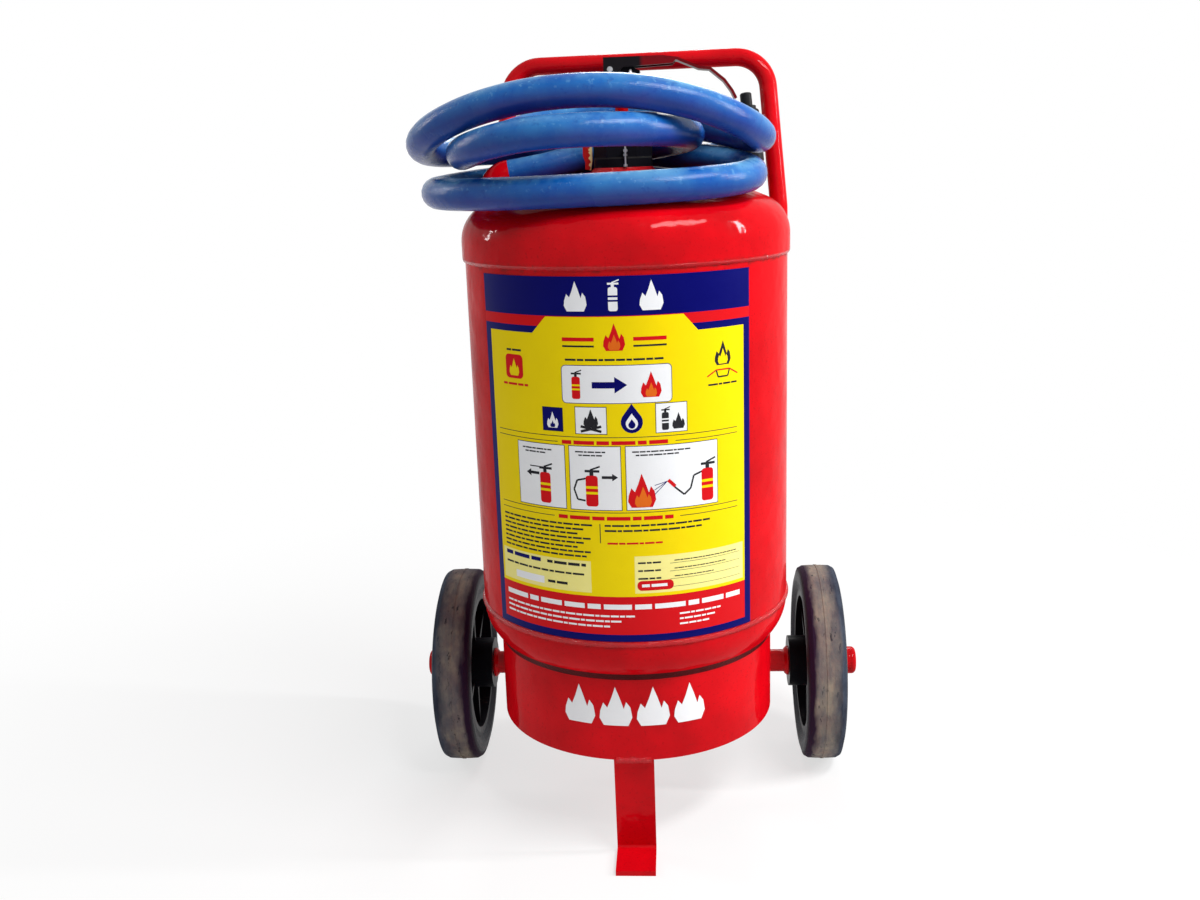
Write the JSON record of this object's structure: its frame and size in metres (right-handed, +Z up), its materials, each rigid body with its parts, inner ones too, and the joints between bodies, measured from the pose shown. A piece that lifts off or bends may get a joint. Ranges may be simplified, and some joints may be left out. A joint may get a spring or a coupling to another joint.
{
  "type": "wheeled fire extinguisher",
  "caption": "Red dry powder fire extinguisher on wheels, with a coiled blue hose and spray gun, a squeeze lever on the neck and a tube push handle.",
  "frame": {"origin": "on the floor, in the middle of the footprint of wheels and foot; the vessel axis stands 17.6 mm in front of it", "axes": "+Z is up, -Y is the front with the label and the foot, +X is the right seen from the front, along the axle"},
  "size_m": [0.466, 0.3564, 0.7415],
  "materials": {
    "red_paint": "glossy enamel",
    "lever_paint": "dark red enamel",
    "black_metal": "satin black",
    "plain_steel": "drawn",
    "siphon_steel": "drawn tube",
    "tyre_rubber": "moulded, dusty tread",
    "bush_plastic": "turned",
    "gasket_rubber": "cut sheet",
    "hose_blue": "glossy, slightly marked",
    "gun_black": "moulded",
    "ferrule_metal": "pressed",
    "label_film": "printed film",
    "tag_red": "thin sheet",
    "powder": "settled powder"
  },
  "bodies": {
    "vessel": {"vessel_cylinder": "red_paint", "top_head": "red_paint", "bottom_head": "red_paint", "top_seam": "red_paint", "bottom_seam": "red_paint", "foot_ring": "red_paint", "foot_ring_seam": "red_paint", "foot_strip": "red_paint", "foot_seam": "red_paint", "axle": "red_paint", "axle_collars": "red_paint", "axle_caps": "red_paint", "handle_frame": "red_paint", "handle_pads": "red_paint", "neck_ring": "red_paint", "neck_seam": "red_paint", "outlet_boss": "red_paint", "outlet_elbow": "red_paint", "guide_tube": "red_paint", "head_cap": "black_metal", "piercing_chamber": "black_metal", "pivot_block": "black_metal", "carry_grip": "black_metal", "axle_washers": "plain_steel", "return_spring": "plain_steel", "lever_pin": "plain_steel", "relief_valve": "plain_steel", "seal_wire": "plain_steel", "gas_cartridge": "plain_steel", "trigger_pin": "plain_steel", "siphon_tube": "siphon_steel", "neck_gasket": "gasket_rubber", "discharge_hose": "hose_blue", "gun_body": "gun_black", "gun_nozzle": "gun_black", "gun_ferrule": "ferrule_metal", "label_sheet": "label_film", "seal_tag": "tag_red", "powder_charge": "powder"},
    "lever": {"operating_lever": "lever_paint"},
    "plunger_body": {"plunger": "plain_steel"},
    "lock_pin": {"safety_pin": "plain_steel", "pull_ring": "plain_steel"},
    "trigger": {"gun_trigger": "gun_black"},
    "left_wheel": {"left_tyre": "tyre_rubber", "left_hub": "black_metal", "left_bush": "bush_plastic"},
    "right_wheel": {"right_tyre": "tyre_rubber", "right_hub": "black_metal", "right_bush": "bush_plastic"}
  },
  "joints": [
    {"name": "left_wheel_spin", "type": "hinge", "parent": "vessel", "child": "left_wheel", "pos_m": [-0.1925, 0.0724, 0.1037], "axis": [1, 0, 0], "continuous": true},
    {"name": "right_wheel_spin", "type": "hinge", "parent": "vessel", "child": "right_wheel", "pos_m": [0.1925, 0.0724, 0.1037], "axis": [1, 0, 0], "continuous": true},
    {"name": "lever_squeeze", "type": "hinge", "parent": "vessel", "child": "lever", "pos_m": [-0.009, -0.0176, 0.719], "axis": [0, 1, 0], "range_deg": [0, 12], "stiffness_Nm_per_rad": 2, "springref_deg": -20.05},
    {"name": "plunger_slide", "type": "slide", "parent": "vessel", "child": "plunger_body", "axis": [0, 0, -1], "range_m": [0, 0.00251], "deforming": ["return_spring"]},
    {"name": "safety_pin_pull", "type": "slide", "parent": "vessel", "child": "lock_pin", "axis": [0, -1, 0], "range_m": [0, 0.03]},
    {"name": "trigger_squeeze", "type": "hinge", "parent": "vessel", "child": "trigger", "pos_m": [0.10453, 0.04382, 0.67456], "axis": [-0.5402, -0.8378, 0.0792], "range_deg": [0, 12], "stiffness_Nm_per_rad": 0.02, "springref_deg": -20.05}
  ],
  "couplings": [
    {"joint": "plunger_slide", "follows": "lever_squeeze", "m_per_rad": 0.012}
  ]
}
